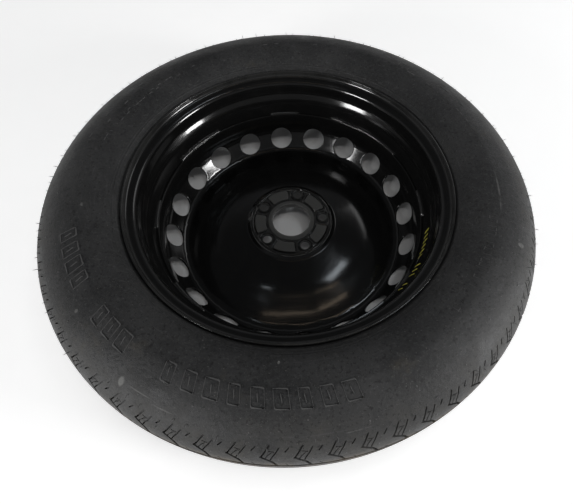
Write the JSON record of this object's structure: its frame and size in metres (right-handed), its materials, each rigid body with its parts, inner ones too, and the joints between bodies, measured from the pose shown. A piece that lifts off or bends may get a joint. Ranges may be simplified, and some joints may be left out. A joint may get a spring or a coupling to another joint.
{
  "type": "spare tyre",
  "caption": "Space-saver spare wheel: narrow tubeless tyre on a black pressed-steel wheel with a ring of round vents, a bolt-on hub pad and a capped tyre valve.",
  "frame": {"origin": "centre of the hub bore on the face that meets the hub", "axes": "+Z along the wheel's axis, from the outboard side to the side that faces the car; +Y points away from the picture's camera"},
  "size_m": [0.7522, 0.7522, 0.16],
  "materials": {
    "tyre_rubber": "matt vulcanised rubber",
    "black_paint": "gloss black dipped paint",
    "painted_weld": "gloss black paint over a rippled weld",
    "valve_rubber": "matt",
    "brass": "turned",
    "gasket": "matt",
    "spring_steel": "drawn wire",
    "cap_plastic": "satin"
  },
  "bodies": {
    "wheel": {"tyre": "tyre_rubber", "rim": "black_paint", "wheel_disc": "black_paint", "disc_welds": "painted_weld", "valve_body": "valve_rubber", "valve_stem": "brass", "valve_core_plug": "brass", "valve_core_gasket": "gasket", "valve_core_spring": "spring_steel"},
    "valve_pin": {"valve_core_pin": "brass", "valve_core_seat": "valve_rubber"},
    "cap_liner": {"valve_cap_seal": "valve_rubber"},
    "cap": {"valve_cap": "cap_plastic"}
  },
  "joints": [
    {"name": "pin_press", "type": "slide", "parent": "wheel", "child": "valve_pin", "axis": [0, 0, 1], "range_m": [0, 0.0015], "stiffness_N_per_m": 300, "springref_m": -0.003, "deforming": ["valve_core_spring"]},
    {"name": "cap_lift", "type": "slide", "parent": "wheel", "child": "cap_liner", "axis": [0, 0, -1], "range_m": [0, 0.00396]},
    {"name": "cap_turn", "type": "hinge", "parent": "cap_liner", "child": "cap", "pos_m": [-0.10015, -0.19656, -0.009], "axis": [0, 0, -1], "range_deg": [0, 1800]}
  ],
  "couplings": [
    {"joint": "cap_turn", "follows": "cap_lift", "rad_per_m": 7913.3}
  ]
}
